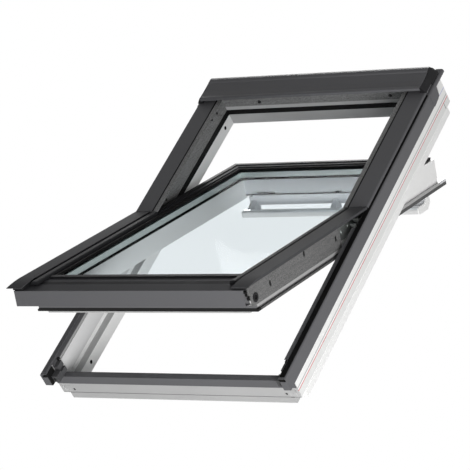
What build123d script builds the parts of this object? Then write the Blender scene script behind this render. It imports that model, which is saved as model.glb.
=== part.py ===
from build123d import *
import math
import os

# A centre-pivot roof window in millimetres, drawn flat and shut:
# x runs across, y up the slope from the lower end, n outward from the room-side face.

# Overall size and opening
FRAME_WIDTH = 780.0
FRAME_LENGTH = 1180.0
ROOF_PITCH = 45.0
REST_OPENING = 25.5
PIVOT_RISE = 20.0
COVER_RISE = 11.0
SHEET = 1.5
EDGE_ROUND = 0.6
RUNNING_GAP = 0.5
FACE_GAP = 0.1

# Frame rails
RAIL = 35.0
END_RAIL = 31.0
WALL = 12.0
LEDGE_N = 39.0
FRAME_DEPTH = 129.0
RAIL_ROUND = 3.0
STRIP_N = 22.0
SHADOW_LINE = 2.0
CORNER_NOTCH = 23.0
GROOVE_INSET = 9.0
GROOVE_WIDTH = 10.0
GROOVE_DEPTH = 10.0
COVE_TOP_N = 53.0
COVE_DEPTH = 3.0
GLAND_FOOT_DOWN = 21.0
GLAND_TOP_DOWN = 3.0
GLAND_DEPTH = 2.0
BRACKET_INSET = 200.0
BRACKET_N = 80.0
BRACKET_PITCH = 40.0
BRACKET_HOLE_R = 2.0
BRACKET_HOLE_DEPTH = 10.0
PLUG_HOLE_R = 4.0
PLUG_HOLE_INSET = 43.0
PILOT_HOLE_R = 2.0
END_HOLE_N = 34.0
END_HOLE_DEPTH = 15.0

# Frame covers
BOTTOM_COVER_DOWN = 41.0
BOTTOM_COVER_FOOT_DOWN = 69.0
BOTTOM_COVER_OUT = 3.0
BOTTOM_COVER_IN_Y = 17.0
BOTTOM_COVER_LIP = 8.0
COVER_BEND = 4.0
SIDE_COVER_OUT = 9.0
SIDE_COVER_FOOT_DOWN = 42.0
SIDE_COVER_LAP = 1.0
SIDE_COVER_LOW_Y = -36.0
SIDE_COVER_TOP_DROP = 60.0
SIDE_LEDGE_INSET = 24.0
SIDE_LEDGE_LOW_Y = 34.0
SIDE_LEDGE_END = 75.0
SIDE_TAB_DOWN = 11.0
GASKET_INSET = 10.0
GASKET_WIDTH = 15.0
GASKET_THICK = 1.5
GASKET_LOW_Y = -30.0
GASKET_TOP_DROP = 96.0
PLATE_LOW_DROP = 94.0
PLATE_TOP_RISE = 20.0
PLATE_CUT_DROP = 82.0
PLATE_CUT_OUT_DROP = 52.0
PLATE_ARM_DROP = 46.0
PLATE_CUT_DOWN = 37.0
PLATE_ARM_DOWN = 7.0
UPPER_COVER_INSET = 59.5
UPPER_COVER_LIP_DOWN = 6.4
UPPER_COVER_TOP_DROP = 50.0
UPPER_COVER_BEND = 5.0
COVER_END_GAP = 1.0
COVER_SEAL_WIDTH = 4.0
COVER_SEAL_RISE = 0.4
HOOD_SECTION = (
    (1.5, -28.0), (1.5, 14.0), (-2.5, 20.5), (-11.0, 23.0), (-22.0, 22.0), (-26.0, 19.5),
    (-58.0, 16.8), (-82.0, 17.4), (-90.0, 20.0), (-96.0, 18.5), (-96.0, 10.5),
)
HOOD_BACK_UP = 23.0
HOOD_INSET = 14.0
HOOD_END_IN = 4.0
HOOD_END_PROUD = 4.0
HOOD_END_EDGE_DOWN = 2.0
CORNER_BLOCK_INSET = 34.0
CORNER_BLOCK_WIDTH = 32.0
CORNER_BLOCK_LOW_Y = -24.0
CORNER_BLOCK_TOP_Y = 24.0
CORNER_BLOCK_DOWN = 19.0
CORNER_BLOCK_STEP_DOWN = 25.0
CORNER_ARM_INSET = 26.0
CORNER_ARM_LOW_Y = 4.0
CORNER_ARM_TOP_Y = 30.0
CORNER_ARM_DOWN = 9.0
CORNER_CHEEK = 2.4
CORNER_CHEEK_TOP_Y = 34.0

# Frame linings and seals
SEAL_TOP_N = 56.0
SEAL_IN = 1.5
SEAL_WIDTH = 12.5
TRIM_TOP_N = 69.0
LINING_CUT_R = 68.5
LINING_CUT_INSET = 48.0
LINING_LIP_INSET = 79.0
LINING_LIP_TOP_DOWN = 0.4
LINING_LIP_EDGE_DOWN = 1.6
LINING_LIP_UNDER_DOWN = 3.3
LINING_HOLE_R = 3.0
LINING_HOLE_DEPTH = 6.0
LINING_HOLE_SHARES = (0.184, 0.474, 0.797, 0.858)
LINING_HOLE_NS = (88.0, 104.0, 91.0, 87.0)
TOP_HOLE_INSET = 164.0
TOP_HOLE_N = 83.0

# Curved-track hinges
TRACK_IN_R = 43.0
TRACK_OUT_R = 67.0
TRACK_RIDGE = 4.0
TRACK_BACK = 2.0
TRACK_DEPTH = 16.0
TRACK_START = -177.0
TRACK_SWEEP = 174.0
TONGUE_START = -90.0
TONGUE_SWEEP = 87.0
TONGUE_CLEAR = 3.0
HINGE_PLATE = 3.0
HINGE_LOW_DROP = 105.0
HINGE_TOP_RISE = 70.0
HINGE_FOOT_DOWN = 66.0
HINGE_TOP_DOWN = 20.0
HINGE_ROUND = 10.0
HINGE_SCREWS = ((86.0, 43.0, 8.0), (49.0, 38.0, 4.5), (22.0, 50.0, 4.5))
SCREW_HEAD = 2.0

# Sash rails
FLANGE_GAP = 3.0
FLANGE = 7.0
FLANGE_FOOT_N = 50.0
FLANGE_TOP_N = 58.0
LOW_LAP = 1.0
TOP_GAP = 9.0
TOP_FLANGE = 36.0
STILE = 60.0
SASH_FOOT_N = 40.0
VENT_N = 52.0
REBATE_DOWN = 42.0
UPSTAND = 12.0
UPSTAND_DOWN = 12.0
SASH_ROUND = 3.0
SASH_SEAL_LIP = 5.0
SASH_SEAL_N = 46.0
TOP_WEB = 8.0
LOCK_INSET = 42.0
LOCK_WIDTH = 62.0
LOCK_DEPTH = 5.0
LOCK_LENGTH = 26.0

# Glazing
PANE = 4.0
PANE_GAP = 16.0
PANE_BED = 2.0
GLASS_EDGE = 2.0
SPACER_EDGE = 3.0
SPACER_IN = 6.0
GLASS_SEAL_TOP_DOWN = 10.0
GLASS_SEAL_IN = 48.0
BEAD_IN = 36.0
GLASS_SEAL_SLOPE = 3.0

# Sash covers
SASH_COVER_INSET = 1.0
SASH_COVER_LIP_DOWN = 7.2
SASH_COVER_FOLD = 8.0
SASH_COVER_FOOT = 9.0
SASH_COVER_LOW_Y = 30.0
BEAK_R = 390.0
BEAK_LENGTH = 75.0
BEAK_LIP = 9.0
TUBE_TOP_DOWN = 1.0
TUBE_ROUND = 8.0
TUBE_LOW_Y = -6.0
CLADDING_DOWN = 4.0
CLADDING_STEP_DOWN = 7.0
CLADDING_OUT = 7.0
CLADDING_STEP = 21.0
CLADDING_SLOPE = 2.0
APRON_INSET = 21.5
APRON_Y = -41.0
APRON_DOWN = 17.0
APRON_FOOT_DOWN = 61.0
APRON_HEM = 8.0
APRON_KNEE_Y = 24.0
APRON_TOP_Y = 48.0
LOW_BEAD_GAP = 1.0
LOW_BEAD_DOWN = 7.0
LOW_BEAD_SLOPE = 7.0
PLUG_INSET = 16.0
PLUG_WIDTH = 34.0
PLUG_LOW_Y = -36.0
PLUG_TOP_DOWN = 3.0
PLUG_LOW_DOWN = 9.0
SASH_LINING_LOW_Y = 12.0
SASH_LINING_TOP_DOWN = 12.5
SASH_LINING_TOP_DROP = 108.0
SASH_LINING_NOTCH_DOWN = 15.5
SASH_LINING_HEEL = ((23.0, 58.0), (20.2, 90.0))
OVAL_SHARES = (0.194, 0.502, 0.785)
OVAL_NS = (88.6, 106.0, 90.7)
OVAL_HEIGHT = 17.0
OVAL_WIDTH = 12.0
BUSH_Y = 36.4
BUSH_UP = 20.0
BUSH_R = 13.0
BUSH_HOLE_R = 7.0
BUSH_RIM = 1.5
BUSH_DEPTH = 6.0

# Vent flap, control bar and barrel bolt
FLAP_INSET = 88.0
FLAP_FOOT_N = 4.0
FLAP_FINGER_R = 45.0
FLAP_BACK = 4.0
FLAP_SIDE_GAP = 2.0
FLAP_SHOULDER_GAP = 5.5
FLAP_ROUND = 4.0
BAR_DROP = 134.0
BAR_N = -9.0
BAR_WIDTH = 26.0
BAR_THICK = 22.0
BAR_ROUND = 8.0
BAR_END = 4.0
CAP_KNEE_DROP = 90.0
CAP_BACK_DROP = 72.0
CAP_KNEE_N = -4.0
CAP_SHOULDER_N = 16.0
CAP_TOP_N = 34.0
CAP_FOOT_N = 12.0
CAP_NECK = 14.0
CAP_ROUND = 8.0
PIN_DROP = 82.0
PIN_N = 47.4
PIN_R = 2.0
PIN_FIT = 0.05
PIN_REACH = 6.0
FINGER_CENTRE_N = 4.0
ARM_INSET = 17.0
ARM_FOOT = 24.0
ARM_HEAD = 10.0
ARM_HEAD_DROP = 96.0
ARM_HEAD_N = 20.0
ARM_ROUND = 5.0
ARM_FIT = 0.3
BOLT_DROP = 68.0
BOLT_N = 66.0
BOLT_R = 3.0
BOLT_TIP_INSET = 39.0
BOLT_LENGTH = 51.0
BOLT_TRAVEL = 16.0
BOLT_FIT = 0.1
BOLT_KNOB_INSET = 78.0
BOLT_KNOB_R = 2.5
BOLT_KNOB_N = 84.0
HOUSING_INSET = 45.0
HOUSING_LENGTH = 41.0
HOUSING_WIDTH = 17.0
HOUSING_N = 75.0
HOUSING_SLOT = 7.0
KEEPER_N = 23.0
KEEPER_R = 6.0
KEEPER_HOLE_R = 3.6
KEEPER_DEPTH = 16.0
KEEPER_FIT = 0.05

# Places across the width that follow from the sizes above
HALF = FRAME_WIDTH / 2
RAIL_X = HALF - RAIL
WALL_X = HALF - WALL
EAR_X = HALF - CORNER_NOTCH
PLUG_HOLE_X = HALF - PLUG_HOLE_INSET
LINING_X = WALL_X - SIDE_COVER_LAP
SIDE_LEDGE_X = HALF - SIDE_LEDGE_INSET
GASKET_IN = HALF - GASKET_INSET
GASKET_OUT = GASKET_IN + GASKET_WIDTH
UPPER_COVER_IN = HALF - UPPER_COVER_INSET
COVER_SEAL_IN = UPPER_COVER_IN - COVER_SEAL_WIDTH
HOOD_HALF = HALF - HOOD_INSET
HOOD_END_OUT = HALF + HOOD_END_PROUD
CORNER_BLOCK_IN = HALF - CORNER_BLOCK_INSET
CORNER_BLOCK_OUT = CORNER_BLOCK_IN + CORNER_BLOCK_WIDTH
CORNER_ARM_IN = HALF - CORNER_ARM_INSET
LINING_CUT_X = HALF - LINING_CUT_INSET
LINING_LIP_IN = HALF - LINING_LIP_INSET
FLANGE_X = RAIL_X - FLANGE_GAP
SASH_X = FLANGE_X - FLANGE
STILE_X = SASH_X - STILE
UPSTAND_X = SASH_X - UPSTAND
LOCK_OUT = STILE_X - LOCK_INSET
LOCK_IN = LOCK_OUT - LOCK_WIDTH
GLASS_X = UPSTAND_X - GLASS_EDGE
BEAD_X = SASH_X - BEAD_IN
MITRE_X = SASH_X - CLADDING_OUT
SASH_COVER_OUT = HALF - SASH_COVER_INSET
SASH_COVER_IN = SASH_X - SASH_COVER_FOLD
APRON_HALF = HALF - APRON_INSET
PLUG_OUT = HALF - PLUG_INSET
PLUG_IN = PLUG_OUT - PLUG_WIDTH
FLAP_HALF = HALF - FLAP_INSET
BOLT_TIP_X = BOLT_TIP_INSET - HALF
BOLT_TAIL_X = BOLT_TIP_X + BOLT_LENGTH
BOLT_KNOB_X = BOLT_KNOB_INSET - HALF
HOUSING_OUT = HOUSING_INSET - HALF
HOUSING_IN = HOUSING_OUT + HOUSING_LENGTH

# Places outward from the room face
PIVOT_N = FRAME_DEPTH + COVER_RISE
SIDE_COVER_N = FRAME_DEPTH + SHEET
PLATE_N = SIDE_COVER_N + SHEET
GASKET_TOP_N = SIDE_COVER_N + GASKET_THICK
COVER_UNDER_N = PIVOT_N - SHEET
HOOD_BACK_N = PIVOT_N + HOOD_BACK_UP
UPPER_COVER_LIP_N = PIVOT_N - UPPER_COVER_LIP_DOWN
HOOD_END_EDGE_N = PIVOT_N - HOOD_END_EDGE_DOWN
LINING_LIP_TOP_N = PIVOT_N - LINING_LIP_TOP_DOWN
LINING_LIP_EDGE_N = PIVOT_N - LINING_LIP_EDGE_DOWN
LINING_LIP_UNDER_N = PIVOT_N - LINING_LIP_UNDER_DOWN
HINGE_FOOT_N = PIVOT_N - HINGE_FOOT_DOWN
HINGE_TOP_N = PIVOT_N - HINGE_TOP_DOWN
REBATE_N = PIVOT_N - REBATE_DOWN
UPSTAND_N = PIVOT_N - UPSTAND_DOWN
GLASS_SEAL_TOP_N = PIVOT_N - GLASS_SEAL_TOP_DOWN
SASH_COVER_LIP_N = PIVOT_N - SASH_COVER_LIP_DOWN
TUBE_TOP_N = PIVOT_N - TUBE_TOP_DOWN
CLADDING_N = PIVOT_N - CLADDING_DOWN
CLADDING_STEP_N = PIVOT_N - CLADDING_STEP_DOWN
APRON_N = PIVOT_N - APRON_DOWN
APRON_FOOT_N = PIVOT_N - APRON_FOOT_DOWN
LOW_BEAD_N = PIVOT_N - LOW_BEAD_DOWN
PLUG_TOP_N = PIVOT_N - PLUG_TOP_DOWN
PLUG_LOW_N = PIVOT_N - PLUG_LOW_DOWN
SASH_LINING_TOP_N = PIVOT_N - SASH_LINING_TOP_DOWN
SASH_LINING_NOTCH_N = PIVOT_N - SASH_LINING_NOTCH_DOWN
BOTTOM_COVER_N = FRAME_DEPTH - BOTTOM_COVER_DOWN
BOTTOM_COVER_FOOT_N = FRAME_DEPTH - BOTTOM_COVER_FOOT_DOWN
SIDE_COVER_FOOT_N = FRAME_DEPTH - SIDE_COVER_FOOT_DOWN
SIDE_TAB_N = FRAME_DEPTH - SIDE_TAB_DOWN
PLATE_CUT_N = FRAME_DEPTH - PLATE_CUT_DOWN
PLATE_ARM_N = FRAME_DEPTH - PLATE_ARM_DOWN
CORNER_BLOCK_N = FRAME_DEPTH - CORNER_BLOCK_DOWN
CORNER_BLOCK_STEP_N = FRAME_DEPTH - CORNER_BLOCK_STEP_DOWN
CORNER_ARM_N = FRAME_DEPTH - CORNER_ARM_DOWN
GLAND_FOOT_N = FRAME_DEPTH - GLAND_FOOT_DOWN
GLAND_TOP_N = FRAME_DEPTH - GLAND_TOP_DOWN
BUSH_N = FLANGE_TOP_N + BUSH_UP
APRON_REST_N = UPSTAND_N - SHEET
INNER_PANE_N = REBATE_N + PANE_BED
OUTER_PANE_N = INNER_PANE_N + PANE + PANE_GAP
GLASS_N = OUTER_PANE_N + PANE

# Places up the slope
PIVOT_Y = FRAME_LENGTH / 2 + PIVOT_RISE
TOP_RAIL_Y = FRAME_LENGTH - END_RAIL
TOP_WALL_Y = FRAME_LENGTH - WALL
BRACKET_YS = (BRACKET_INSET, FRAME_LENGTH - BRACKET_INSET)
SIDE_COVER_TOP_Y = FRAME_LENGTH - SIDE_COVER_TOP_DROP
SIDE_LEDGE_YS = (SIDE_LEDGE_LOW_Y, PIVOT_Y - SIDE_LEDGE_END)
GASKET_TOP_Y = FRAME_LENGTH - GASKET_TOP_DROP
PLATE_TOP_Y = FRAME_LENGTH + PLATE_TOP_RISE
UPPER_COVER_TOP_Y = FRAME_LENGTH - UPPER_COVER_TOP_DROP
PLATE_LOW_Y = FRAME_LENGTH - PLATE_LOW_DROP
PLATE_CUT_Y = FRAME_LENGTH - PLATE_CUT_DROP
PLATE_CUT_OUT_Y = FRAME_LENGTH - PLATE_CUT_OUT_DROP
PLATE_ARM_Y = FRAME_LENGTH - PLATE_ARM_DROP
BAR_Y = FRAME_LENGTH - BAR_DROP
CAP_KNEE_Y = FRAME_LENGTH - CAP_KNEE_DROP
ARM_HEAD_Y = FRAME_LENGTH - ARM_HEAD_DROP
CAP_BACK_Y = FRAME_LENGTH - CAP_BACK_DROP
PIN_Y = FRAME_LENGTH - PIN_DROP
BOLT_Y = FRAME_LENGTH - BOLT_DROP
HINGE_LOW_Y = PIVOT_Y - HINGE_LOW_DROP
HINGE_TOP_Y = PIVOT_Y + HINGE_TOP_RISE
FLANGE_LOW_Y = END_RAIL - LOW_LAP
SASH_LOW_Y = FLANGE_LOW_Y + FLANGE
FLANGE_TOP_Y = TOP_RAIL_Y - TOP_GAP
SASH_TOP_Y = FLANGE_TOP_Y - TOP_FLANGE
SASH_IN_LOW_Y = SASH_LOW_Y + STILE
SASH_IN_TOP_Y = SASH_TOP_Y - STILE
LOW_UPSTAND_Y = APRON_TOP_Y + UPSTAND
LOW_BEAD_TOP_Y = LOW_UPSTAND_Y + UPSTAND
TOP_UPSTAND_Y = SASH_TOP_Y - UPSTAND
GLASS_LOW_Y = LOW_UPSTAND_Y + GLASS_EDGE
GLASS_TOP_Y = TOP_UPSTAND_Y - GLASS_EDGE
BEAD_TOP_Y = SASH_TOP_Y - BEAD_IN
MITRE_Y = SASH_TOP_Y - CLADDING_OUT
FLAP_BACK_Y = SASH_TOP_Y - FLAP_BACK
SASH_LINING_TOP_Y = PIVOT_Y - SASH_LINING_TOP_DROP

# Rows of holes
LINING_HOLES = [
    (PIVOT_Y + share * (FRAME_LENGTH - PIVOT_Y), n) for share, n in zip(LINING_HOLE_SHARES, LINING_HOLE_NS)
]
LINING_OVALS = [(share * PIVOT_Y, n) for share, n in zip(OVAL_SHARES, OVAL_NS)]
KEEPER_REACH = math.sqrt((BOLT_Y - PIVOT_Y) ** 2 + (BOLT_N - PIVOT_N) ** 2 - (KEEPER_N - PIVOT_N) ** 2)
KEEPERS = [(PIVOT_Y + KEEPER_REACH, KEEPER_N), (PIVOT_Y - KEEPER_REACH, KEEPER_N)]


# Drawing helpers
def rounded(points, *rounds):
    face = Polygon(*points, align=None)
    for radius, *corners in rounds:
        chosen = [face.vertices().sort_by_distance((a, b, 0))[0] for a, b in corners]
        face = fillet(chosen, radius)
    return face


def turn(before, here, after):
    into = (here[0] - before[0], here[1] - before[1])
    out = (after[0] - here[0], after[1] - here[1])
    return into[0] * out[1] - into[1] * out[0]


def soft(points):
    """Outline with its outward corners eased."""
    turns = [turn(points[i - 1], points[i], points[(i + 1) % len(points)]) for i in range(len(points))]
    area = sum(a[0] * b[1] - a[1] * b[0] for a, b in zip(points, points[1:] + points[:1]))
    return rounded(points, (EDGE_ROUND, *[point for point, side in zip(points, turns) if side * area > 0]))


def folded(path):
    """Outline of a folded sheet that lies on the left of its outer path."""
    sides = []
    for (a0, b0), (a1, b1) in zip(path, path[1:]):
        length = math.hypot(a1 - a0, b1 - b0)
        sides.append(((b0 - b1) / length, (a1 - a0) / length))
    inner = []
    for index, (a, b) in enumerate(path):
        before = sides[max(index - 1, 0)]
        after = sides[min(index, len(sides) - 1)]
        reach = SHEET / (1 + before[0] * after[0] + before[1] * after[1])
        inner.append((a + (before[0] + after[0]) * reach, b + (before[1] + after[1]) * reach))
    return path + inner[::-1]


def along_x(face, x0, x1):
    return extrude(Plane.YZ.offset(x0) * face, amount=x1 - x0, dir=(1, 0, 0))


def along_y(face, y0, y1):
    return extrude(Plane.XZ.offset(-y0) * face, amount=y1 - y0, dir=(0, 1, 0))


def along_n(face, n0, n1):
    return extrude(Plane.XY.offset(n0) * face, amount=n1 - n0, dir=(0, 0, 1))


def block(x0, x1, y0, y1, n0, n1):
    middle = Pos((x0 + x1) / 2, (y0 + y1) / 2, (n0 + n1) / 2)
    return middle * Box(x1 - x0, y1 - y0, n1 - n0)


def rod_x(radius, x0, x1, y, n):
    return along_x(Pos(y, n) * Circle(radius), x0, x1)


def rod_y(radius, y0, y1, x, n):
    return along_y(Pos(x, n) * Circle(radius), y0, y1)


def rod_n(radius, n0, n1, x, y):
    return along_n(Pos(x, y) * Circle(radius), n0, n1)


def ring_sector(centre, inner_r, outer_r, start, sweep):
    outer = CenterArc(centre, outer_r, start, sweep)
    inner = CenterArc(centre, inner_r, start, sweep)
    return make_face([outer, Line(outer @ 1, inner @ 1), inner, Line(inner @ 0, outer @ 0)])


def flipped(part):
    return mirror(part, about=Plane.YZ)


def both(part):
    return part + flipped(part)


# Frame rails
def side_rail():
    groove_in = RAIL_X + GROOVE_INSET
    groove_out = groove_in + GROOVE_WIDTH
    points = [
        (RAIL_X, 0), (groove_in, 0), (groove_in, GROOVE_DEPTH), (groove_out, GROOVE_DEPTH),
        (groove_out, 0), (HALF, 0), (HALF, STRIP_N - SHADOW_LINE), (HALF - SHADOW_LINE, STRIP_N),
        (HALF, STRIP_N + SHADOW_LINE), (HALF, FRAME_DEPTH), (WALL_X, FRAME_DEPTH), (WALL_X, GLAND_TOP_N),
        (WALL_X + GLAND_DEPTH, GLAND_TOP_N), (WALL_X + GLAND_DEPTH, GLAND_FOOT_N), (WALL_X, GLAND_FOOT_N),
        (WALL_X, COVE_TOP_N), (WALL_X + COVE_DEPTH, COVE_TOP_N), (WALL_X + COVE_DEPTH, LEDGE_N),
        (RAIL_X, LEDGE_N),
    ]
    rail = along_y(rounded(points, (RAIL_ROUND, (RAIL_X, 0), (RAIL_X, LEDGE_N))), 0, FRAME_LENGTH)
    rail -= block(RAIL_X, HALF, 0, CORNER_NOTCH, 0, STRIP_N)
    rail -= block(RAIL_X, HALF, FRAME_LENGTH - CORNER_NOTCH, FRAME_LENGTH, 0, STRIP_N)
    rail -= rod_y(PILOT_HOLE_R, 0, END_HOLE_DEPTH, EAR_X, END_HOLE_N)
    for middle in BRACKET_YS:
        for y in (middle - BRACKET_PITCH / 2, middle + BRACKET_PITCH / 2):
            rail -= rod_x(BRACKET_HOLE_R, HALF - BRACKET_HOLE_DEPTH, HALF, y, BRACKET_N)
    return rail


def left_rail():
    rail = flipped(side_rail())
    for y, n in KEEPERS:
        rail -= rod_x(KEEPER_R + KEEPER_FIT, -RAIL_X - KEEPER_DEPTH, -RAIL_X, y, n)
    return rail


def top_rail():
    groove_in = TOP_RAIL_Y + GROOVE_INSET
    groove_out = groove_in + GROOVE_WIDTH
    points = [
        (TOP_RAIL_Y, 0), (groove_in, 0), (groove_in, GROOVE_DEPTH), (groove_out, GROOVE_DEPTH),
        (groove_out, 0), (FRAME_LENGTH, 0), (FRAME_LENGTH, LEDGE_N), (TOP_RAIL_Y, LEDGE_N),
    ]
    rail = along_x(rounded(points, (RAIL_ROUND, (TOP_RAIL_Y, 0))), -RAIL_X, RAIL_X)
    rail += block(-WALL_X, WALL_X, TOP_WALL_Y, FRAME_LENGTH, LEDGE_N, FRAME_DEPTH)
    return rail + both(block(RAIL_X, EAR_X, FRAME_LENGTH - CORNER_NOTCH, FRAME_LENGTH, 0, STRIP_N))


def bottom_rail():
    groove_in = END_RAIL - GROOVE_INSET
    groove_out = groove_in - GROOVE_WIDTH
    points = [
        (END_RAIL, 0), (groove_in, 0), (groove_in, GROOVE_DEPTH), (groove_out, GROOVE_DEPTH),
        (groove_out, 0), (0, 0), (0, STRIP_N - SHADOW_LINE), (SHADOW_LINE, STRIP_N),
        (0, STRIP_N + SHADOW_LINE), (0, LEDGE_N), (END_RAIL, LEDGE_N),
    ]
    rail = along_x(rounded(points, (RAIL_ROUND, (END_RAIL, 0), (END_RAIL, LEDGE_N))), -RAIL_X, RAIL_X)
    rail += block(-WALL_X, WALL_X, 0, WALL, LEDGE_N, BOTTOM_COVER_N - SHEET)
    rail += both(block(RAIL_X, EAR_X, 0, CORNER_NOTCH, 0, STRIP_N))
    return rail - both(rod_y(PLUG_HOLE_R, 0, END_HOLE_DEPTH, PLUG_HOLE_X, END_HOLE_N))


def bolt_keeper(y, n):
    bush = rod_x(KEEPER_R, -RAIL_X - KEEPER_DEPTH, -RAIL_X, y, n)
    return bush - rod_x(KEEPER_HOLE_R, -RAIL_X - KEEPER_DEPTH + SHEET, -RAIL_X, y, n)


# Frame covers
def bottom_cover():
    path = [
        (BOTTOM_COVER_IN_Y, BOTTOM_COVER_N - BOTTOM_COVER_LIP), (BOTTOM_COVER_IN_Y, BOTTOM_COVER_N),
        (-BOTTOM_COVER_OUT, BOTTOM_COVER_N), (-BOTTOM_COVER_OUT, BOTTOM_COVER_FOOT_N),
    ]
    cover = along_x(soft(folded(path)), -HALF, HALF)
    return cover - both(block(WALL_X - FACE_GAP, HALF, -FACE_GAP, BOTTOM_COVER_IN_Y, LEDGE_N, BOTTOM_COVER_N))


def corner_block():
    front = block(
        CORNER_BLOCK_IN, CORNER_BLOCK_OUT, CORNER_BLOCK_LOW_Y, -FACE_GAP, BOTTOM_COVER_N, CORNER_BLOCK_N
    )
    body = block(CORNER_BLOCK_IN, WALL_X, -FACE_GAP, CORNER_BLOCK_TOP_Y, BOTTOM_COVER_N, CORNER_BLOCK_STEP_N)
    arm = block(
        CORNER_ARM_IN, WALL_X, CORNER_ARM_LOW_Y, CORNER_ARM_TOP_Y, CORNER_BLOCK_STEP_N, CORNER_ARM_N
    )
    cheek = block(
        WALL_X - CORNER_CHEEK, WALL_X, CORNER_ARM_LOW_Y, CORNER_CHEEK_TOP_Y,
        CORNER_BLOCK_STEP_N, FRAME_DEPTH - FACE_GAP,
    )
    return front + body + arm + cheek


def side_cover():
    out = HALF + SIDE_COVER_OUT
    path = [(out, SIDE_COVER_FOOT_N), (out, SIDE_COVER_N), (LINING_X, SIDE_COVER_N)]
    bend = (COVER_BEND, (out, SIDE_COVER_N))
    inner_bend = (COVER_BEND - SHEET, (out - SHEET, FRAME_DEPTH))
    cover = along_y(rounded(folded(path), bend, inner_bend), SIDE_COVER_LOW_Y, SIDE_COVER_TOP_Y)
    cover += block(SIDE_LEDGE_X, LINING_X, *SIDE_LEDGE_YS, FRAME_DEPTH, SIDE_COVER_N)
    tab_top = SIDE_COVER_LOW_Y + SHEET
    return cover + block(WALL_X, out - SHEET, SIDE_COVER_LOW_Y, tab_top, SIDE_COVER_FOOT_N, SIDE_TAB_N)


def side_gasket():
    return block(GASKET_IN, GASKET_OUT, GASKET_LOW_Y, GASKET_TOP_Y, SIDE_COVER_N, GASKET_TOP_N)


def corner_plate():
    out = HALF + SIDE_COVER_OUT + SHEET
    path = [(out, SIDE_COVER_FOOT_N), (out, PLATE_N), (LINING_X, PLATE_N)]
    bend = (COVER_BEND + SHEET, (out, PLATE_N))
    inner_bend = (COVER_BEND, (out - SHEET, SIDE_COVER_N))
    plate = along_y(rounded(folded(path), bend, inner_bend), PLATE_LOW_Y, PLATE_TOP_Y)
    cut = [
        (PLATE_CUT_Y, SIDE_COVER_FOOT_N), (PLATE_CUT_OUT_Y, PLATE_CUT_N), (PLATE_ARM_Y, PLATE_ARM_N),
        (PLATE_TOP_Y, PLATE_ARM_N), (PLATE_TOP_Y, SIDE_COVER_FOOT_N),
    ]
    return plate - along_x(Polygon(*cut, align=None), HALF, out)


def upper_cover():
    path = [(HALF, UPPER_COVER_LIP_N), (HALF, PIVOT_N), (UPPER_COVER_IN, PIVOT_N)]
    bend = (UPPER_COVER_BEND, (HALF, PIVOT_N))
    inner_bend = (UPPER_COVER_BEND - SHEET, (HALF - SHEET, COVER_UNDER_N))
    return along_y(rounded(folded(path), bend, inner_bend), PIVOT_Y + COVER_END_GAP, UPPER_COVER_TOP_Y)


def upper_cover_seal():
    top = PIVOT_N + COVER_SEAL_RISE
    low_y = PIVOT_Y + COVER_END_GAP
    return block(COVER_SEAL_IN, UPPER_COVER_IN, low_y, UPPER_COVER_TOP_Y, COVER_UNDER_N, top)


def hood_path():
    return [(FRAME_LENGTH + y, PIVOT_N + n) for y, n in HOOD_SECTION]


def top_hood():
    return along_x(Polygon(*folded(hood_path()), align=None), -HOOD_HALF, HOOD_HALF)


def hood_end():
    outline = folded(hood_path())
    inside = outline[len(outline) // 2:]
    lip, back = inside[1], inside[-2]
    points = [(lip[0], PIVOT_N)] + inside[1:-1] + [(back[0], PIVOT_N)]
    cap = along_x(Polygon(*points, align=None), HOOD_HALF - HOOD_END_IN, HOOD_END_OUT)
    cap += block(WALL_X, HOOD_END_OUT, UPPER_COVER_TOP_Y + FACE_GAP, back[0], PLATE_N, PIVOT_N)
    slope = [
        (HOOD_HALF, HOOD_BACK_N), (HOOD_END_OUT, HOOD_END_EDGE_N), (HOOD_END_OUT, HOOD_BACK_N),
    ]
    return cap - along_y(Polygon(*slope, align=None), lip[0], back[0])


# Frame linings and seals
def frame_lining():
    points = [
        (RAIL_X, SEAL_TOP_N), (LINING_X, SEAL_TOP_N), (LINING_X, COVER_UNDER_N),
        (COVER_SEAL_IN, COVER_UNDER_N), (COVER_SEAL_IN, LINING_LIP_TOP_N), (LINING_LIP_IN, LINING_LIP_EDGE_N),
        (LINING_LIP_IN, LINING_LIP_UNDER_N), (RAIL_X, LINING_LIP_UNDER_N),
    ]
    lining = along_y(Polygon(*points, align=None), PIVOT_Y, TOP_RAIL_Y)
    lining -= rod_x(LINING_CUT_R, LINING_CUT_X, LINING_X, PIVOT_Y, PIVOT_N)
    for y, n in LINING_HOLES:
        lining -= rod_x(LINING_HOLE_R, RAIL_X, RAIL_X + LINING_HOLE_DEPTH, y, n)
    return lining


def left_lining():
    """Lining with the hole that takes the barrel bolt when the sash is shut."""
    return flipped(frame_lining()) - rod_x(KEEPER_HOLE_R, -RAIL_X - KEEPER_DEPTH, -RAIL_X, BOLT_Y, BOLT_N)


def top_lining():
    lining = block(-LINING_X, LINING_X, TOP_RAIL_Y, TOP_WALL_Y, TRIM_TOP_N, COVER_UNDER_N)
    bed = TOP_RAIL_Y + LINING_HOLE_DEPTH
    return lining - both(rod_y(LINING_HOLE_R, TOP_RAIL_Y, bed, HALF - TOP_HOLE_INSET, TOP_HOLE_N))


def top_trim():
    return block(-LINING_X, LINING_X, TOP_RAIL_Y, TOP_WALL_Y, SEAL_TOP_N, TRIM_TOP_N)


def frame_seal():
    inner_x, outer_x = RAIL_X - SEAL_IN, RAIL_X - SEAL_IN + SEAL_WIDTH
    inner_y, outer_y = TOP_RAIL_Y - SEAL_IN, TOP_RAIL_Y - SEAL_IN + SEAL_WIDTH
    sides = both(block(inner_x, outer_x, PIVOT_Y, outer_y, LEDGE_N, SEAL_TOP_N))
    return sides + block(-inner_x, inner_x, inner_y, outer_y, LEDGE_N, SEAL_TOP_N)


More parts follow.
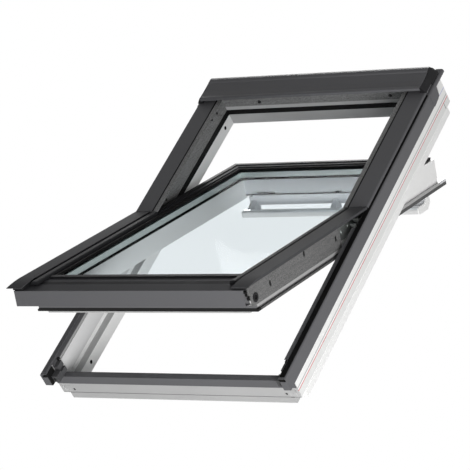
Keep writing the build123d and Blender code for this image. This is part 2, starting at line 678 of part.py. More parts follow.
# Curved-track hinges
def hinge_frame():
    pivot = (PIVOT_Y, PIVOT_N)
    face = WALL_X - TRACK_BACK
    low, high = PIVOT_Y - TRACK_OUT_R, PIVOT_Y + TRACK_OUT_R
    back = rod_x(TRACK_OUT_R, face, WALL_X, PIVOT_Y, PIVOT_N)
    back -= block(face, WALL_X, low, high, FRAME_DEPTH, PIVOT_N + TRACK_OUT_R)
    for inner_r in (TRACK_IN_R, TRACK_OUT_R - TRACK_RIDGE):
        ridge = ring_sector(pivot, inner_r, inner_r + TRACK_RIDGE, TRACK_START, TRACK_SWEEP)
        back += along_x(ridge, face - TRACK_DEPTH, face)
    return back


def hinge_sash():
    points = [
        (HINGE_LOW_Y, HINGE_FOOT_N), (HINGE_TOP_Y, HINGE_FOOT_N), (HINGE_TOP_Y, HINGE_TOP_N),
        (HINGE_LOW_Y, HINGE_TOP_N),
    ]
    plate = along_x(rounded(points, (HINGE_ROUND, *points)), SASH_X, SASH_X + HINGE_PLATE)
    inner_r = TRACK_IN_R + TRACK_RIDGE + RUNNING_GAP
    outer_r = TRACK_OUT_R - TRACK_RIDGE - RUNNING_GAP
    tongue = ring_sector((PIVOT_Y, PIVOT_N), inner_r, outer_r, TONGUE_START, TONGUE_SWEEP)
    return plate + along_x(tongue, SASH_X, WALL_X - TRACK_BACK - TONGUE_CLEAR)


def hinge_screws():
    face = SASH_X + HINGE_PLATE
    heads = Part()
    for drop, down, radius in HINGE_SCREWS:
        heads += rod_x(radius, face, face + SCREW_HEAD, PIVOT_Y - drop, PIVOT_N - down)
    return both(heads)


# Sash rails
def stile():
    points = [
        (STILE_X, SASH_FOOT_N), (SASH_X, SASH_FOOT_N), (SASH_X, FLANGE_FOOT_N), (FLANGE_X, FLANGE_FOOT_N),
        (FLANGE_X, FLANGE_TOP_N), (SASH_X, FLANGE_TOP_N), (SASH_X, UPSTAND_N), (UPSTAND_X, UPSTAND_N),
        (UPSTAND_X, REBATE_N), (STILE_X, REBATE_N),
    ]
    rail = along_y(rounded(points, (SASH_ROUND, (STILE_X, SASH_FOOT_N))), SASH_LOW_Y, SASH_TOP_Y)
    rail -= rod_x(PIN_R + PIN_FIT, STILE_X, STILE_X + PIN_REACH, PIN_Y, PIN_N)
    return rail - block(UPSTAND_X, SASH_X, SASH_LOW_Y, APRON_TOP_Y, APRON_REST_N, UPSTAND_N)


def sash_bottom():
    points = [
        (SASH_LOW_Y, SASH_FOOT_N), (SASH_IN_LOW_Y, SASH_FOOT_N), (SASH_IN_LOW_Y, REBATE_N),
        (SASH_LOW_Y, REBATE_N),
    ]
    rail = along_x(rounded(points, (SASH_ROUND, (SASH_IN_LOW_Y, SASH_FOOT_N))), -STILE_X, STILE_X)
    rail += block(-UPSTAND_X, UPSTAND_X, SASH_LOW_Y, LOW_UPSTAND_Y, REBATE_N, APRON_REST_N)
    return rail + block(-FLANGE_X, FLANGE_X, FLANGE_LOW_Y, SASH_LOW_Y, FLANGE_FOOT_N, FLANGE_TOP_N)


def sash_top():
    rail = block(-STILE_X, STILE_X, SASH_IN_TOP_Y, SASH_TOP_Y, VENT_N, REBATE_N)
    rail += block(-UPSTAND_X, UPSTAND_X, TOP_UPSTAND_Y, SASH_TOP_Y, REBATE_N, UPSTAND_N)
    rail += block(-FLANGE_X, FLANGE_X, SASH_TOP_Y, FLANGE_TOP_Y, FLANGE_FOOT_N, FLANGE_TOP_N)
    rail += block(-STILE_X, STILE_X, SASH_TOP_Y, FLANGE_TOP_Y, FLANGE_TOP_N, FLANGE_TOP_N + TOP_WEB)
    pocket_y = SASH_IN_TOP_Y + LOCK_LENGTH
    return rail - block(-LOCK_OUT, -LOCK_IN, SASH_IN_TOP_Y, pocket_y, VENT_N, VENT_N + LOCK_DEPTH)


def lock_case():
    low, high = SASH_IN_TOP_Y, SASH_IN_TOP_Y + LOCK_LENGTH - FACE_GAP
    top = VENT_N + LOCK_DEPTH - FACE_GAP
    return block(-LOCK_OUT + FACE_GAP, -LOCK_IN - FACE_GAP, low, high, VENT_N + FACE_GAP, top)


def sash_seal():
    edge = FLANGE_X + SASH_SEAL_LIP
    side = block(SASH_X, FLANGE_X, FLANGE_LOW_Y, FLANGE_TOP_Y, SASH_FOOT_N, FLANGE_FOOT_N)
    side += block(FLANGE_X, edge, FLANGE_LOW_Y, HINGE_LOW_Y, SASH_FOOT_N, SASH_SEAL_N)
    low = block(-SASH_X, SASH_X, FLANGE_LOW_Y, SASH_LOW_Y, SASH_FOOT_N, FLANGE_FOOT_N)
    top = block(-SASH_X, SASH_X, FLANGE_TOP_Y - FLANGE, FLANGE_TOP_Y, SASH_FOOT_N, FLANGE_FOOT_N)
    return both(side) + low + top


# Glazing
def pane(foot_n):
    return block(-GLASS_X, GLASS_X, GLASS_LOW_Y, GLASS_TOP_Y, foot_n, foot_n + PANE)


def glazing_ring(outer_x, low_y, top_y, inner_x, in_low_y, in_top_y, n0, n1):
    ring = block(-outer_x, outer_x, low_y, top_y, n0, n1)
    return ring - block(-inner_x, inner_x, in_low_y, in_top_y, n0, n1)


def pane_spacer():
    inner_x = STILE_X + SPACER_IN
    in_low, in_top = SASH_IN_LOW_Y - SPACER_IN, SASH_IN_TOP_Y + SPACER_IN
    low, top = GLASS_LOW_Y + SPACER_EDGE, GLASS_TOP_Y - SPACER_EDGE
    foot = INNER_PANE_N + PANE
    return glazing_ring(GLASS_X - SPACER_EDGE, low, top, inner_x, in_low, in_top, foot, OUTER_PANE_N)


def inner_glazing_seal():
    return glazing_ring(
        GLASS_X, GLASS_LOW_Y, GLASS_TOP_Y, STILE_X, SASH_IN_LOW_Y, SASH_IN_TOP_Y, REBATE_N, INNER_PANE_N
    )


def outer_glazing_seal():
    inner_x, inner_top = SASH_X - GLASS_SEAL_IN, SASH_TOP_Y - GLASS_SEAL_IN
    seal = block(-GLASS_X, GLASS_X, LOW_BEAD_TOP_Y, GLASS_TOP_Y, GLASS_N, UPSTAND_N)
    seal += block(-BEAD_X, BEAD_X, LOW_BEAD_TOP_Y, BEAD_TOP_Y, UPSTAND_N, GLASS_SEAL_TOP_N)
    seal -= block(-inner_x, inner_x, LOW_BEAD_TOP_Y, inner_top, GLASS_N, GLASS_SEAL_TOP_N)
    bevel = [
        (inner_x, GLASS_N), (inner_x + GLASS_SEAL_SLOPE, GLASS_SEAL_TOP_N), (inner_x, GLASS_SEAL_TOP_N),
    ]
    return seal - both(along_y(Polygon(*bevel, align=None), LOW_BEAD_TOP_Y, inner_top))


# Sash covers
def sash_cover():
    path = [
        (SASH_COVER_OUT, SASH_COVER_LIP_N), (SASH_COVER_OUT, PIVOT_N), (SASH_COVER_IN, PIVOT_N),
        (SASH_COVER_IN, UPSTAND_N), (SASH_COVER_IN + SASH_COVER_FOOT, UPSTAND_N),
    ]
    cover = along_y(soft(folded(path)), SASH_COVER_LOW_Y, PIVOT_Y - COVER_END_GAP)
    return cover + beak()


def beak():
    centre = (SASH_COVER_LOW_Y, PIVOT_N - BEAK_R)
    bend = math.degrees(math.asin(BEAK_LENGTH / BEAK_R))
    sheet = ring_sector(centre, BEAK_R - SHEET, BEAK_R, 90, bend)
    lip = ring_sector(centre, BEAK_R - BEAK_LIP, BEAK_R, 90, bend)
    lip -= Pos(*centre) * Rectangle(BEAK_R, 2 * (SASH_COVER_LIP_N - centre[1]))
    outer_edge = SASH_COVER_OUT - SHEET
    return along_x(sheet, SASH_COVER_IN, SASH_COVER_OUT) + along_x(lip, outer_edge, SASH_COVER_OUT)


def glass_bead():
    outer = UPSTAND_X - RUNNING_GAP
    points = [(BEAD_X, UPSTAND_N), (outer, UPSTAND_N), (outer, TUBE_TOP_N), (BEAD_X, TUBE_TOP_N)]
    section = rounded(points, (TUBE_ROUND, (BEAD_X, TUBE_TOP_N), (outer, TUBE_TOP_N)))
    return along_y(section, TUBE_LOW_Y, PIVOT_Y - COVER_END_GAP)


def cladding_section(edge):
    """Stepped section of the upper cladding, measured inward from the sash edge."""
    return [
        (edge - BEAD_IN, UPSTAND_N), (edge - CLADDING_OUT, UPSTAND_N),
        (edge - CLADDING_OUT, CLADDING_N), (edge - CLADDING_STEP, CLADDING_N),
        (edge - CLADDING_STEP - CLADDING_SLOPE, CLADDING_STEP_N), (edge - BEAD_IN, CLADDING_STEP_N),
    ]


def mitred(part, x, y):
    """Part cut along the diagonal of the sash's upper corner, on the side of the given point."""
    corner = [(BEAD_X, BEAD_TOP_Y), (MITRE_X, MITRE_Y), (x, y)]
    return part - along_n(Polygon(*corner, align=None), UPSTAND_N, CLADDING_N)


def side_cladding():
    rail = along_y(soft(cladding_section(SASH_X)), PIVOT_Y + COVER_END_GAP, MITRE_Y)
    return mitred(rail, BEAD_X, MITRE_Y)


def top_cladding():
    half = mitred(along_x(soft(cladding_section(SASH_TOP_Y)), 0, MITRE_X), MITRE_X, BEAD_TOP_Y)
    return both(half)


def bottom_apron():
    path = [
        (APRON_TOP_Y, UPSTAND_N), (APRON_KNEE_Y, UPSTAND_N), (APRON_Y, APRON_N),
        (APRON_Y, APRON_FOOT_N), (APRON_Y + APRON_HEM, APRON_FOOT_N),
    ]
    return along_x(soft(folded(path)), -APRON_HALF, APRON_HALF)


def bottom_bead():
    low, top = APRON_TOP_Y + LOW_BEAD_GAP, LOW_BEAD_TOP_Y
    points = [
        (low, APRON_REST_N), (LOW_UPSTAND_Y, APRON_REST_N), (LOW_UPSTAND_Y, GLASS_N), (top, GLASS_N),
        (top, GLASS_SEAL_TOP_N), (top - LOW_BEAD_SLOPE, LOW_BEAD_N), (low, LOW_BEAD_N),
    ]
    return along_x(soft(points), -BEAD_X + FACE_GAP, BEAD_X - FACE_GAP)


def end_plug():
    slope = (UPSTAND_N - APRON_N) / (APRON_KNEE_Y - APRON_Y)
    low_n = APRON_N + slope * (PLUG_LOW_Y - APRON_Y) + FACE_GAP
    points = [
        (PLUG_LOW_Y, low_n), (APRON_KNEE_Y, UPSTAND_N + FACE_GAP), (APRON_KNEE_Y, PLUG_TOP_N),
        (PLUG_LOW_Y, PLUG_LOW_N),
    ]
    return along_x(soft(points), PLUG_IN, PLUG_OUT)


def sash_lining():
    lining = block(SASH_X, FLANGE_X, SASH_LINING_LOW_Y, SASH_LINING_TOP_Y, FLANGE_TOP_N, SASH_LINING_TOP_N)
    for y, n in LINING_OVALS:
        lining -= along_x(Pos(y, n) * Rot(0, 0, 90) * SlotOverall(OVAL_HEIGHT, OVAL_WIDTH), SASH_X, FLANGE_X)
    lining -= block(SASH_X, FLANGE_X, SASH_LINING_LOW_Y, APRON_TOP_Y, SASH_LINING_NOTCH_N, SASH_LINING_TOP_N)
    low, high = SASH_LINING_HEEL
    heel = [(SASH_LINING_LOW_Y, low[1]), low, high, (SASH_LINING_LOW_Y, high[1])]
    lining -= along_x(Polygon(*heel, align=None), SASH_X, FLANGE_X)
    return lining - rod_x(BUSH_R + FACE_GAP, SASH_X, FLANGE_X, BUSH_Y, BUSH_N)


def lining_bush():
    bush = rod_x(BUSH_R, FLANGE_X - BUSH_DEPTH, FLANGE_X + BUSH_RIM, BUSH_Y, BUSH_N)
    return bush - rod_x(BUSH_HOLE_R, FLANGE_X - BUSH_DEPTH, FLANGE_X + BUSH_RIM, BUSH_Y, BUSH_N)


# Vent flap, control bar and barrel bolt
def vent_flap():
    centre = (BAR_Y, FINGER_CENTRE_N)
    top = VENT_N - RUNNING_GAP
    points = [(BAR_Y, FLAP_FOOT_N), (FLAP_BACK_Y, FLAP_FOOT_N), (FLAP_BACK_Y, top), (BAR_Y, top)]
    section = rounded(points, (FLAP_ROUND, (FLAP_BACK_Y, FLAP_FOOT_N))) - Pos(*centre) * Circle(FLAP_FINGER_R)
    flap = along_x(section, -FLAP_HALF, FLAP_HALF)
    shoulder_n = SASH_FOOT_N - FLAP_SHOULDER_GAP
    shoulder = block(STILE_X - FLAP_SIDE_GAP, FLAP_HALF, BAR_Y - BAR_WIDTH, SASH_TOP_Y, shoulder_n, VENT_N)
    flap -= both(shoulder)
    pin_in = STILE_X - FLAP_SIDE_GAP
    return flap + both(rod_x(PIN_R, pin_in, pin_in + PIN_REACH, PIN_Y, PIN_N))


def bar_section():
    low, high = BAR_Y - BAR_WIDTH / 2, BAR_Y + BAR_WIDTH / 2
    foot, top = BAR_N - BAR_THICK / 2, BAR_N + BAR_THICK / 2
    points = [(low, foot), (high, foot), (high, top), (low, top)]
    return rounded(points, (BAR_ROUND, *points))


def control_bar():
    return along_x(bar_section(), -FLAP_HALF, FLAP_HALF)


def cap_section():
    low = BAR_Y - BAR_WIDTH / 2
    foot, top = BAR_N - BAR_THICK / 2, BAR_N + BAR_THICK / 2
    neck = (CAP_KNEE_Y - CAP_NECK, top)
    knees = [(CAP_KNEE_Y, foot), (CAP_BACK_Y, CAP_KNEE_N), (CAP_BACK_Y, CAP_SHOULDER_N)]
    points = [
        (low, foot), *knees, (FLAP_BACK_Y, CAP_TOP_N), (CAP_KNEE_Y, CAP_TOP_N),
        (CAP_KNEE_Y, CAP_FOOT_N), neck, (low, top),
    ]
    return rounded(points, (BAR_ROUND, (low, foot), (low, top)), (CAP_ROUND, *knees))


def bar_ends():
    return both(along_x(cap_section(), FLAP_HALF, FLAP_HALF + BAR_END))


def bar_arm(x):
    bar_edge = BAR_Y + BAR_WIDTH / 2
    foot = BAR_N - BAR_THICK / 2 + BAR_ROUND
    top = BAR_N + BAR_THICK / 2 - BAR_ROUND
    side = [
        (bar_edge, foot), (FLAP_BACK_Y - ARM_ROUND, foot), (FLAP_BACK_Y, FLAP_FOOT_N - ARM_ROUND),
        (FLAP_BACK_Y - ARM_ROUND, FLAP_FOOT_N), (ARM_HEAD_Y, ARM_HEAD_N), (bar_edge, top),
    ]
    front = [
        (x - ARM_FOOT / 2, foot), (x + ARM_FOOT / 2, foot),
        (x + ARM_HEAD / 2, ARM_HEAD_N), (x - ARM_HEAD / 2, ARM_HEAD_N),
    ]
    left, right = x - ARM_FOOT / 2, x + ARM_FOOT / 2
    under_flap = block(left, right, bar_edge, FLAP_BACK_Y, foot, FLAP_FOOT_N)
    cove = along_x(Pos(BAR_Y, FINGER_CENTRE_N) * Circle(FLAP_FINGER_R - ARM_FIT), left, right)
    arm = along_x(Polygon(*side, align=None), left, right) & (under_flap + cove)
    return arm & along_y(Polygon(*front, align=None), bar_edge, FLAP_BACK_Y)


def bar_arms():
    return Part() + [bar_arm(x) for x in (-FLAP_HALF + ARM_INSET, 0, FLAP_HALF - ARM_INSET)]


def barrel_bolt():
    bolt = rod_x(BOLT_R, BOLT_TIP_X, BOLT_TAIL_X, BOLT_Y, BOLT_N)
    return bolt + rod_n(BOLT_KNOB_R, BOLT_N, BOLT_KNOB_N, BOLT_KNOB_X, BOLT_Y)


def bolt_housing():
    low, high = BOLT_Y - HOUSING_SLOT, BOLT_Y - HOUSING_SLOT + HOUSING_WIDTH
    housing = block(HOUSING_OUT, HOUSING_IN, low, high, FLANGE_TOP_N, HOUSING_N)
    housing -= rod_x(BOLT_R + BOLT_FIT, HOUSING_OUT, HOUSING_IN, BOLT_Y, BOLT_N)
    reach = BOLT_KNOB_R + RUNNING_GAP
    slot_out = BOLT_KNOB_X - BOLT_TRAVEL - reach
    return housing - block(slot_out, BOLT_KNOB_X + reach, BOLT_Y - reach, BOLT_Y + reach, BOLT_N, HOUSING_N)


# Whole window
def pair(name, part):
    return {f"{name}_right": part, f"{name}_left": flipped(part)}


def frame_parts():
    parts = {
        "frame_right": side_rail(), "frame_left": left_rail(), "frame_top": top_rail(),
        "frame_bottom": bottom_rail(), "bottom_cover": bottom_cover(), "top_hood": top_hood(),
        "top_lining": top_lining(), "top_trim": top_trim(), "frame_seal": frame_seal(),
        "upper_cover_seals": both(upper_cover_seal()), "side_gaskets": both(side_gasket()),
        "frame_lining_right": frame_lining(), "frame_lining_left": left_lining(),
        "bolt_keepers": Part() + [bolt_keeper(y, n) for y, n in KEEPERS],
    }
    for name, part in (
        ("side_cover", side_cover()), ("corner_plate", corner_plate()), ("upper_cover", upper_cover()),
        ("hood_end", hood_end()), ("corner_block", corner_block()), ("hinge_track", hinge_frame()),
    ):
        parts.update(pair(name, part))
    return parts


def sash_parts():
    parts = {
        "sash_top": sash_top(), "sash_bottom": sash_bottom(), "sash_seal": sash_seal(),
        "outer_pane": pane(OUTER_PANE_N), "inner_pane": pane(INNER_PANE_N), "pane_spacer": pane_spacer(),
        "inner_glazing_seal": inner_glazing_seal(), "outer_glazing_seal": outer_glazing_seal(),
        "top_cladding": top_cladding(), "bottom_apron": bottom_apron(), "bottom_bead": bottom_bead(),
        "lining_bushes": both(lining_bush()), "hinge_screws": hinge_screws(), "lock_case": lock_case(),
        "vent_flap": vent_flap(), "control_bar": control_bar(), "bar_ends": bar_ends(),
        "bar_arms": bar_arms(), "barrel_bolt": barrel_bolt(), "bolt_housing": bolt_housing(),
    }
    for name, part in (
        ("sash", stile()), ("hinge_tongue", hinge_sash()), ("sash_cover", sash_cover()),
        ("glass_bead", glass_bead()), ("side_cladding", side_cladding()), ("end_plug", end_plug()),
        ("sash_lining", sash_lining()),
    ):
        parts.update(pair(name, part))
    return parts


def opened(part):
    pivot = Pos(0, PIVOT_Y, PIVOT_N)
    return pivot * Rot(-REST_OPENING, 0, 0) * pivot.inverse() * part


def on_roof(part):
    return Rot(ROOF_PITCH, 0, 0) * Pos(0, -FRAME_LENGTH / 2, 0) * part


os.makedirs("parts", exist_ok=True)
window = frame_parts()
window.update({name: opened(part) for name, part in sash_parts().items()})
for name, part in window.items():
    export_step(on_roof(part), f"parts/{name}.step")
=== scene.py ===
import bmesh
import bpy
import math
from mathutils import Matrix, Vector


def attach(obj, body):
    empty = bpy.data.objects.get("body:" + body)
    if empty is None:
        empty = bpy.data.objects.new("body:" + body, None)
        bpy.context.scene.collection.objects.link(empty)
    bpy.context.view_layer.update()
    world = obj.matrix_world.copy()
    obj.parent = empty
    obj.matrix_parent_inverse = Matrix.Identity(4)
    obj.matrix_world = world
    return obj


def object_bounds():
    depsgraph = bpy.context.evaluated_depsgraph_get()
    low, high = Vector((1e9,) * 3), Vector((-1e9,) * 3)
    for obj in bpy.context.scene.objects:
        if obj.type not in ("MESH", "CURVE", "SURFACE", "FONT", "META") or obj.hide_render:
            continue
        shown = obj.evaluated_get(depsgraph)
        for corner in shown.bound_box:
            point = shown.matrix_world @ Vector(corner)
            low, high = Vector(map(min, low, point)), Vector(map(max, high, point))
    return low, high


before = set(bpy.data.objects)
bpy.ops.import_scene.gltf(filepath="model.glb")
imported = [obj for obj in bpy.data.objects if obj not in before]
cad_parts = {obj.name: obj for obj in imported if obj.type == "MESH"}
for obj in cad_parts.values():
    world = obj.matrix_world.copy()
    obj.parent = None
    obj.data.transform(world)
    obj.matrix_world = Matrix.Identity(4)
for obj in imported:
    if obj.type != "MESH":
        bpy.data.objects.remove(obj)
cad_box = [list(corner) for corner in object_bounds()]

# Roof window's own axes, in metres: x across, y up the slope, n outward
PITCH = math.radians(45.0)
OPENING = math.radians(25.5)
FRAME_HALF = 0.390
FRAME_MIDDLE_Y = 0.590
FRAME_LENGTH = 1.180
PIVOT_Y = 0.610
PIVOT_N = 0.140

# View of the photograph
EYE = (4.0259, -6.4441, -0.1416)
EYE_AZIMUTH = math.radians(32.618)
EYE_ELEVATION = math.radians(-1.382)
SENSOR = 36.0
LENS = 203.26
FAR_CLIP = 60.0

# Window pieces by finish
SIDE_RAILS = ("frame_left", "frame_right")
END_RAILS = ("frame_top", "frame_bottom")
SASH_RAILS = ("sash_left", "sash_right", "sash_bottom")
VENT_PIECES = ("sash_top", "vent_flap", "bar_arms")
CONTROLS = ("bar_ends", "bolt_housing")
COVERS = (
    "bottom_cover", "side_cover_left", "side_cover_right", "upper_cover_left", "upper_cover_right",
    "top_hood", "corner_plate_left", "corner_plate_right",
)
SASH_COVERS = ("sash_cover_left", "sash_cover_right")
CORNER_BLOCKS = ("corner_block_left", "corner_block_right")
CLADDINGS = (
    "side_cladding_left", "side_cladding_right", "top_cladding", "glass_bead_left", "glass_bead_right",
    "bottom_bead",
)
FRAME_LININGS = ("frame_lining_left", "frame_lining_right")
SASH_LININGS = ("sash_lining_left", "sash_lining_right")
SEALS = ("frame_seal", "upper_cover_seals", "inner_glazing_seal", "outer_glazing_seal")
BLACK_MOULDINGS = (
    "hood_end_left", "hood_end_right", "end_plug_left", "end_plug_right", "lock_case", "lining_bushes",
    "bolt_keepers",
)
HINGES = ("hinge_track_left", "hinge_track_right", "hinge_tongue_left", "hinge_tongue_right", "hinge_screws")
PANES = ("outer_pane", "inner_pane")


# Places on the window
def on_frame(x, y, n):
    rise, drop = math.sin(PITCH), math.cos(PITCH)
    along = y - FRAME_MIDDLE_Y
    return Vector((x, along * drop - n * rise, along * rise + n * drop))


def on_sash(x, y, n):
    dy, dn = y - PIVOT_Y, n - PIVOT_N
    turned_y = PIVOT_Y + dy * math.cos(OPENING) + dn * math.sin(OPENING)
    turned_n = PIVOT_N + dn * math.cos(OPENING) - dy * math.sin(OPENING)
    return on_frame(x, turned_y, turned_n)


def placed(name, data):
    """A new object in the scene."""
    made = bpy.data.objects.new(name, data)
    bpy.context.scene.collection.objects.link(made)
    return made


def meshed(name, shape, material):
    """A new object with a finished shape as its mesh."""
    mesh = bpy.data.meshes.new(name)
    shape.to_mesh(mesh)
    shape.free()
    mesh.materials.append(material)
    return placed(name, mesh)


# Shader maths
class Value:
    """A shader socket that takes part in plain expressions."""

    def __init__(self, nodes, socket):
        self.nodes = nodes
        self.socket = socket

    def maths(self, operation, *terms):
        return self.nodes.node("ShaderNodeMath", {"operation": operation}, dict(enumerate(terms)))

    def __add__(self, other):
        return self.maths("ADD", self, other)

    def __sub__(self, other):
        return self.maths("SUBTRACT", self, other)

    def __rsub__(self, other):
        return self.maths("SUBTRACT", other, self)

    def __mul__(self, other):
        return self.maths("MULTIPLY", self, other)

    def __or__(self, other):
        return self.maths("MAXIMUM", self, other)

    def __gt__(self, other):
        return self.maths("GREATER_THAN", self, other)

    def __lt__(self, other):
        return self.maths("LESS_THAN", self, other)

    def __abs__(self):
        return self.maths("ABSOLUTE", self)

    __radd__ = __add__
    __rmul__ = __mul__
    __ror__ = __or__


class Nodes:
    """The shader nodes of one finish or of the studio."""

    def __init__(self, tree):
        self.tree = tree

    def node(self, kind, settings, sockets, output=0):
        made = self.tree.nodes.new(kind)
        for key, value in settings.items():
            if key == "stops":
                self.set_stops(made.color_ramp.elements, value)
            else:
                setattr(made, key, value)
        for key, value in sockets.items():
            self.feed(made.inputs[key], value)
        return Value(self, made.outputs[output])

    def set_stops(self, elements, stops):
        while len(elements) < len(stops):
            elements.new(1.0)
        for element, (position, level) in zip(elements, stops):
            element.position = position
            element.color = (level, level, level, 1.0)

    def feed(self, socket, value):
        if isinstance(value, Value):
            self.tree.links.new(value.socket, socket)
        else:
            socket.default_value = value

    def outputs(self, value, *names):
        return [Value(self, value.socket.node.outputs[name]) for name in names]

    def white_to_the_eye(self, plain, white):
        """White where the camera, a reflection or the glass looks, the plain surface elsewhere."""
        path = self.node("ShaderNodeLightPath", {}, {})
        camera, glossy, through = self.outputs(path, "Is Camera Ray", "Is Glossy Ray", "Is Transmission Ray")
        return self.node("ShaderNodeMixShader", {}, {0: camera | glossy | through, 1: plain, 2: white})


# Places of the colour sockets on a mix node
MIX_FACTOR = 0
MIX_FIRST = 6
MIX_SECOND = 7
MIX_RESULT = 2


class Finish(Nodes):
    """One material of the window."""

    def __init__(self, name):
        self.material = bpy.data.materials.new(name)
        self.material.use_nodes = True
        super().__init__(self.material.node_tree)
        self.shader = self.tree.nodes["Principled BSDF"]
        self.place = self.node("ShaderNodeTexCoord", {}, {}, "Object")

    def axes(self):
        return self.outputs(self.node("ShaderNodeSeparateXYZ", {}, {"Vector": self.place}), "X", "Y", "Z")

    def frame_axes(self):
        """Across, up the slope and outward, as on the frame."""
        x, y, z = self.axes()
        rise, drop = math.sin(PITCH), math.cos(PITCH)
        return x, y * drop + z * rise + FRAME_MIDDLE_Y, z * drop - y * rise

    def sash_axes(self):
        """Across, up the slope and outward, as on the shut sash."""
        x, up, out = self.frame_axes()
        up, out = up - PIVOT_Y, out - PIVOT_N
        rise, drop = math.sin(OPENING), math.cos(OPENING)
        return x, up * drop - out * rise + PIVOT_Y, out * drop + up * rise + PIVOT_N

    def drawn_out(self, tilt, scale):
        """Coordinates turned by the tilt about the window's width, then stretched."""
        settings = {"vector_type": "TEXTURE"}
        sockets = {"Vector": self.place, "Rotation": (tilt, 0.0, 0.0), "Scale": scale}
        return self.node("ShaderNodeMapping", settings, sockets)

    def noise(self, scale, detail, roughness=0.5, place=None):
        sockets = {"Vector": place or self.place, "Scale": scale, "Detail": detail, "Roughness": roughness}
        return self.node("ShaderNodeTexNoise", {}, sockets)

    def cells(self, scale):
        return self.node("ShaderNodeTexVoronoi", {}, {"Vector": self.place, "Scale": scale}, "Distance")

    def ramp(self, value, *stops):
        return self.node("ShaderNodeValToRGB", {"stops": stops}, {"Fac": value})

    def mix(self, factor, first, second):
        sockets = {MIX_FACTOR: factor, MIX_FIRST: first, MIX_SECOND: second}
        return self.node("ShaderNodeMix", {"data_type": "RGBA"}, sockets, MIX_RESULT)

    def blend(self, factor, first, second):
        return self.mix(factor, (*first, 1.0), (*second, 1.0))

    def tint(self, factor, base, colour):
        return self.mix(factor, base, (*colour, 1.0))

    def relief(self, height, strength, depth):
        sockets = {"Height": height, "Strength": strength, "Distance": depth}
        self.feed(self.shader.inputs["Normal"], self.node("ShaderNodeBump", {}, sockets))

    def surface(self, **sockets):
        for key, value in sockets.items():
            self.feed(self.shader.inputs[key.replace("_", " ")], value)
        return self.material

    def own_shader(self):
        return Value(self, self.shader.outputs[0])

    def shown_by(self, shader):
        """The material with another shader at its output."""
        self.feed(self.tree.nodes["Material Output"].inputs["Surface"], shader)
        return self.material


def near(value, centre, half):
    return abs(value - centre) < half


def spread(value, least, width):
    """A value of 0 to 1, taken to a range that begins at the least."""
    return value * width + least


def grey(level):
    return (level, level, level)


# White finishes. A grain is a noise's scale, detail and sharpness, a relief is a strength and a depth,
# and a roughness is its least and its width, here and below.
COAT_PEEL = (700.0, 3.0)
COAT_RELIEF = (0.08, 0.0004)
COAT_CLOUD = (6.0, 2.0)
COAT_ROUGHNESS = (0.3, 0.1)
WHITE_SHADE = (0.80, 0.80, 0.79)
WHITE_LIGHT = (0.85, 0.85, 0.845)
# Greyer white of the end rails, also put on the side rails' end faces: painted shade of the same white coat
END_PAINTED_SHADE_DARK = grey(0.36)
END_PAINTED_SHADE_LIGHT = grey(0.42)
# Greyer white of the vent pieces: painted shade of the same white coat
VENT_PAINTED_SHADE_DARK = (0.62, 0.63, 0.65)
VENT_PAINTED_SHADE_LIGHT = (0.69, 0.70, 0.72)

# Painted shade on the inner wall, the ledge and the gland groove of the frame's rails
FACE_DEPTH = 0.0007
WALL_X = 0.378
WALL_PAINTED_SHADE = grey(0.58)
LEDGE_N = 0.039
LEDGE_PAINTED_SHADE = grey(0.44)
GLAND_X = 0.380
GLAND_FOOT_N = 0.107
GLAND_PAINTED_SHADE = grey(0.26)

# Lines along the sides of the frame: middle, half width, strength and paint. The first is a light grey band,
# the second a printed red line, the third a thin dark grey line, and the last painted shade in the groove.
SIDE_PRINT_AND_SHADE = (
    (0.0343, 0.0113, 0.28, (0.50, 0.51, 0.50)),
    (0.0476, 0.0014, 0.90, (0.60, 0.05, 0.06)),
    (0.0560, 0.0017, 0.60, (0.16, 0.15, 0.15)),
    # painted shade in the groove
    (0.0220, 0.0010, 0.60, (0.25, 0.26, 0.25)),
)

# Other marks: each band is its middle and its half width. The saw cut, the groove and the step are painted
# shade, and the stroke a pencil mark.
SAW_CUT_Y = (1.1468, 0.0014)
SAW_CUT_N = (0.0347, 0.0108)
SAW_CUT_STRENGTH = 0.8
STROKE_Y = (1.1620, 0.0180)
STROKE_N = (0.0792, 0.0010)
STROKE_STRENGTH = 0.7
STROKE_PAINT = (0.13, 0.16, 0.55)
GROOVE_N = (0.022, 0.0017)
GROOVE_DEPTH = 0.0017
GROOVE_END_X = 0.355
GROOVE_STRENGTH = (0.5, 0.4)
GROOVE_AND_CUT_SHADE = grey(0.05)
STEP_N = (0.0496, 0.0008)
STEP_STRENGTH = 0.4


def white_coat(finish, shade, light):
    peel = finish.noise(*COAT_PEEL)
    finish.relief(peel, *COAT_RELIEF)
    finish.surface(Roughness=spread(peel, *COAT_ROUGHNESS))
    return finish.blend(finish.noise(*COAT_CLOUD), shade, light)


def plain_white(name, shade, light):
    finish = Finish(name)
    return finish.surface(Base_Color=white_coat(finish, shade, light))


def front_groove_shade(x, up, out):
    """Painted shade in the groove along the lower front, darker at its ends, with painted shade along the
    step of the side rails over it.
    """
    ends = abs(x) > GROOVE_END_X
    groove = near(out, *GROOVE_N) * spread(ends, *GROOVE_STRENGTH)
    step = near(out, *STEP_N) * ends * STEP_STRENGTH
    return (groove | step) * (up < GROOVE_DEPTH)


